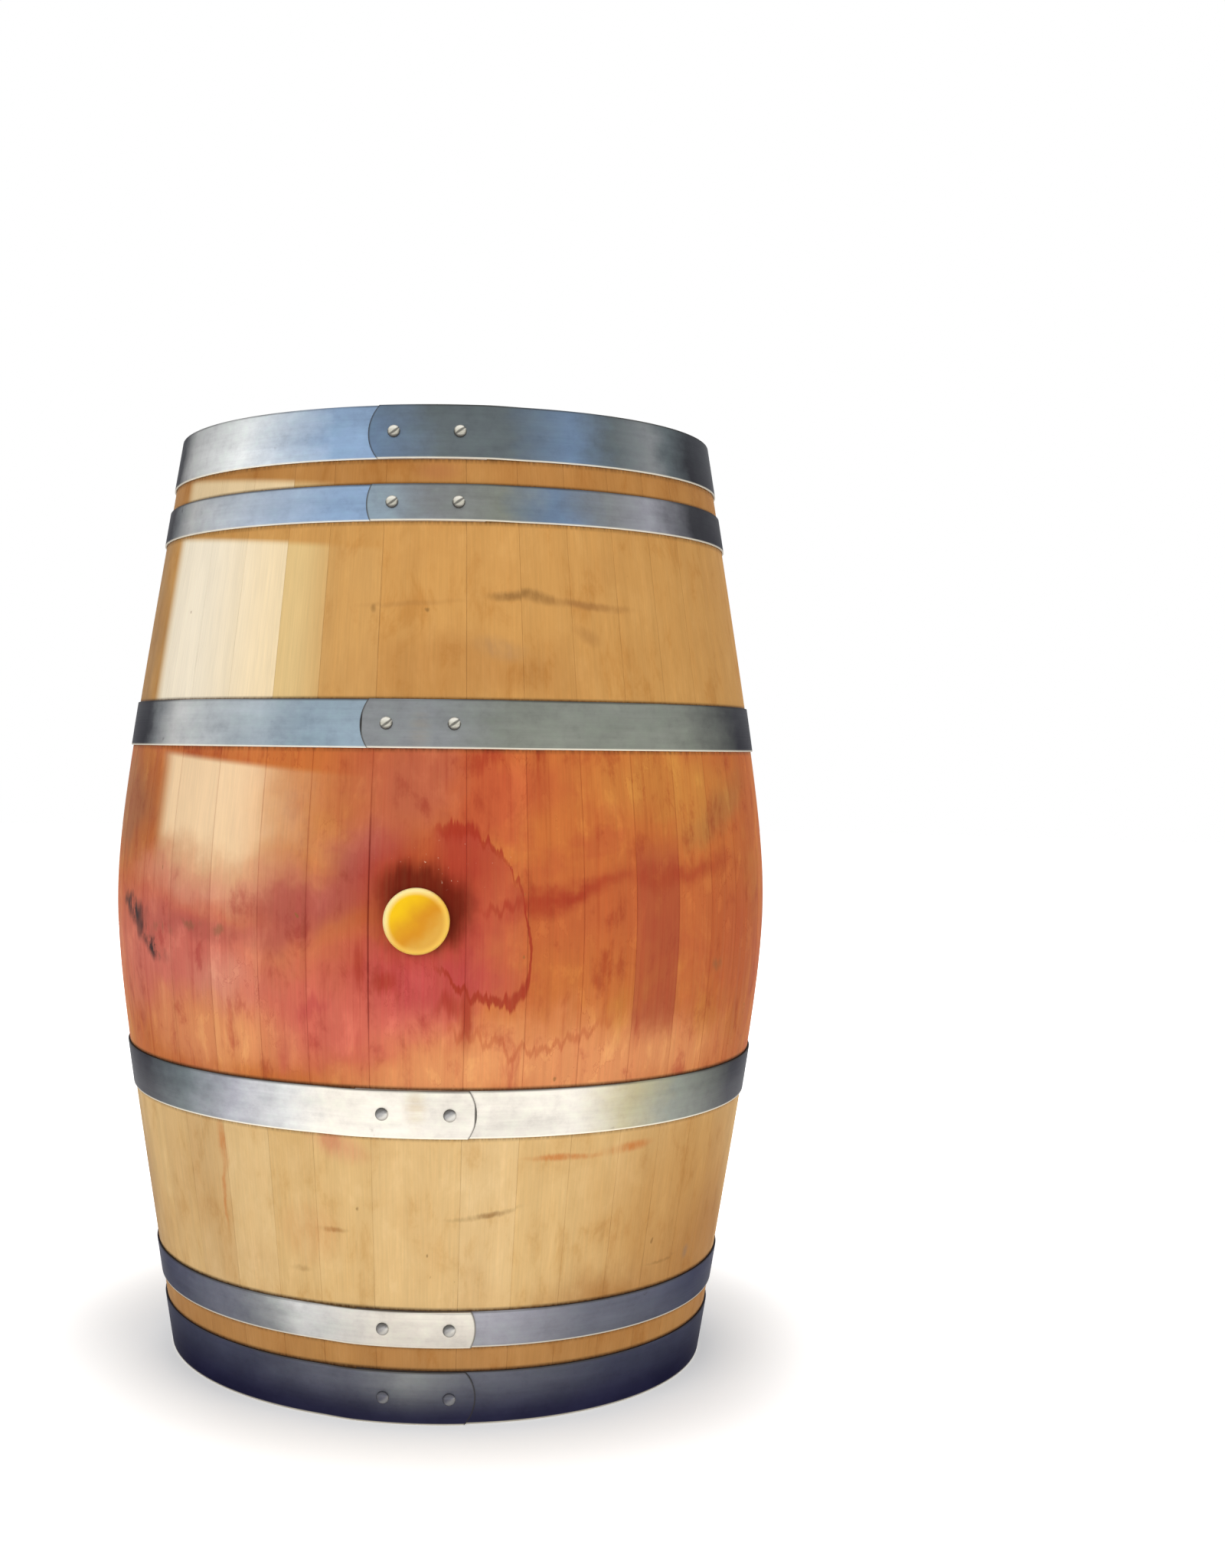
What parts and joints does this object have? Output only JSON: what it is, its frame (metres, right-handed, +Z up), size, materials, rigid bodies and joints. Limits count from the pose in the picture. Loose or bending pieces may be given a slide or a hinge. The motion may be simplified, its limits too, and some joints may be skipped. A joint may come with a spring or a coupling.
{
  "type": "wine barrel",
  "caption": "Oak wine barrel standing on end: bent staves bound by riveted steel hoops, jointed heads set in grooves inside the stave ends, and a pull-out silicone bung in the side.",
  "frame": {"origin": "middle of the base, on the barrel's axis, in the plane of the lower stave ends", "axes": "+Z up along the barrel's axis, -Y out through the bung, +X to the right as seen from the bung side"},
  "size_m": [0.6896, 0.7001, 0.95],
  "materials": {
    "stave_oak": "dry sanded oak, wine-stained round the bung",
    "head_oak": "dry planed oak",
    "hoop_steel": "galvanised strip, dull and grimy",
    "rivet_steel": "smooth domed heads",
    "bung_silicone": "translucent satin silicone"
  },
  "bodies": {
    "barrel": {"bung_stave": "stave_oak", "stave_01": "stave_oak", "stave_02": "stave_oak", "stave_03": "stave_oak", "stave_04": "stave_oak", "stave_05": "stave_oak", "stave_06": "stave_oak", "stave_07": "stave_oak", "stave_08": "stave_oak", "stave_09": "stave_oak", "stave_10": "stave_oak", "stave_11": "stave_oak", "stave_12": "stave_oak", "stave_13": "stave_oak", "stave_14": "stave_oak", "stave_15": "stave_oak", "stave_16": "stave_oak", "stave_17": "stave_oak", "stave_18": "stave_oak", "stave_19": "stave_oak", "stave_20": "stave_oak", "stave_21": "stave_oak", "stave_22": "stave_oak", "stave_23": "stave_oak", "stave_24": "stave_oak", "stave_25": "stave_oak", "stave_26": "stave_oak", "stave_27": "stave_oak", "stave_28": "stave_oak", "stave_29": "stave_oak", "stave_30": "stave_oak", "lower_head_board_1": "head_oak", "lower_head_board_2": "head_oak", "lower_head_board_3": "head_oak", "lower_head_board_4": "head_oak", "lower_head_board_5": "head_oak", "upper_head_board_1": "head_oak", "upper_head_board_2": "head_oak", "upper_head_board_3": "head_oak", "upper_head_board_4": "head_oak", "upper_head_board_5": "head_oak", "lower_chime_hoop": "hoop_steel", "lower_quarter_hoop": "hoop_steel", "lower_bilge_hoop": "hoop_steel", "upper_chime_hoop": "hoop_steel", "upper_quarter_hoop": "hoop_steel", "upper_bilge_hoop": "hoop_steel", "lower_chime_tail_rivet": "rivet_steel", "lower_chime_tip_rivet": "rivet_steel", "lower_quarter_tail_rivet": "rivet_steel", "lower_quarter_tip_rivet": "rivet_steel", "lower_bilge_tail_rivet": "rivet_steel", "lower_bilge_tip_rivet": "rivet_steel", "upper_chime_tail_rivet": "rivet_steel", "upper_chime_tip_rivet": "rivet_steel", "upper_quarter_tail_rivet": "rivet_steel", "upper_quarter_tip_rivet": "rivet_steel", "upper_bilge_tail_rivet": "rivet_steel", "upper_bilge_tip_rivet": "rivet_steel"},
    "bung": {"bung": "bung_silicone"}
  },
  "joints": [
    {"name": "bung_pull", "type": "slide", "parent": "barrel", "child": "bung", "axis": [0, -1, 0], "range_m": [0, 0.12]}
  ]
}
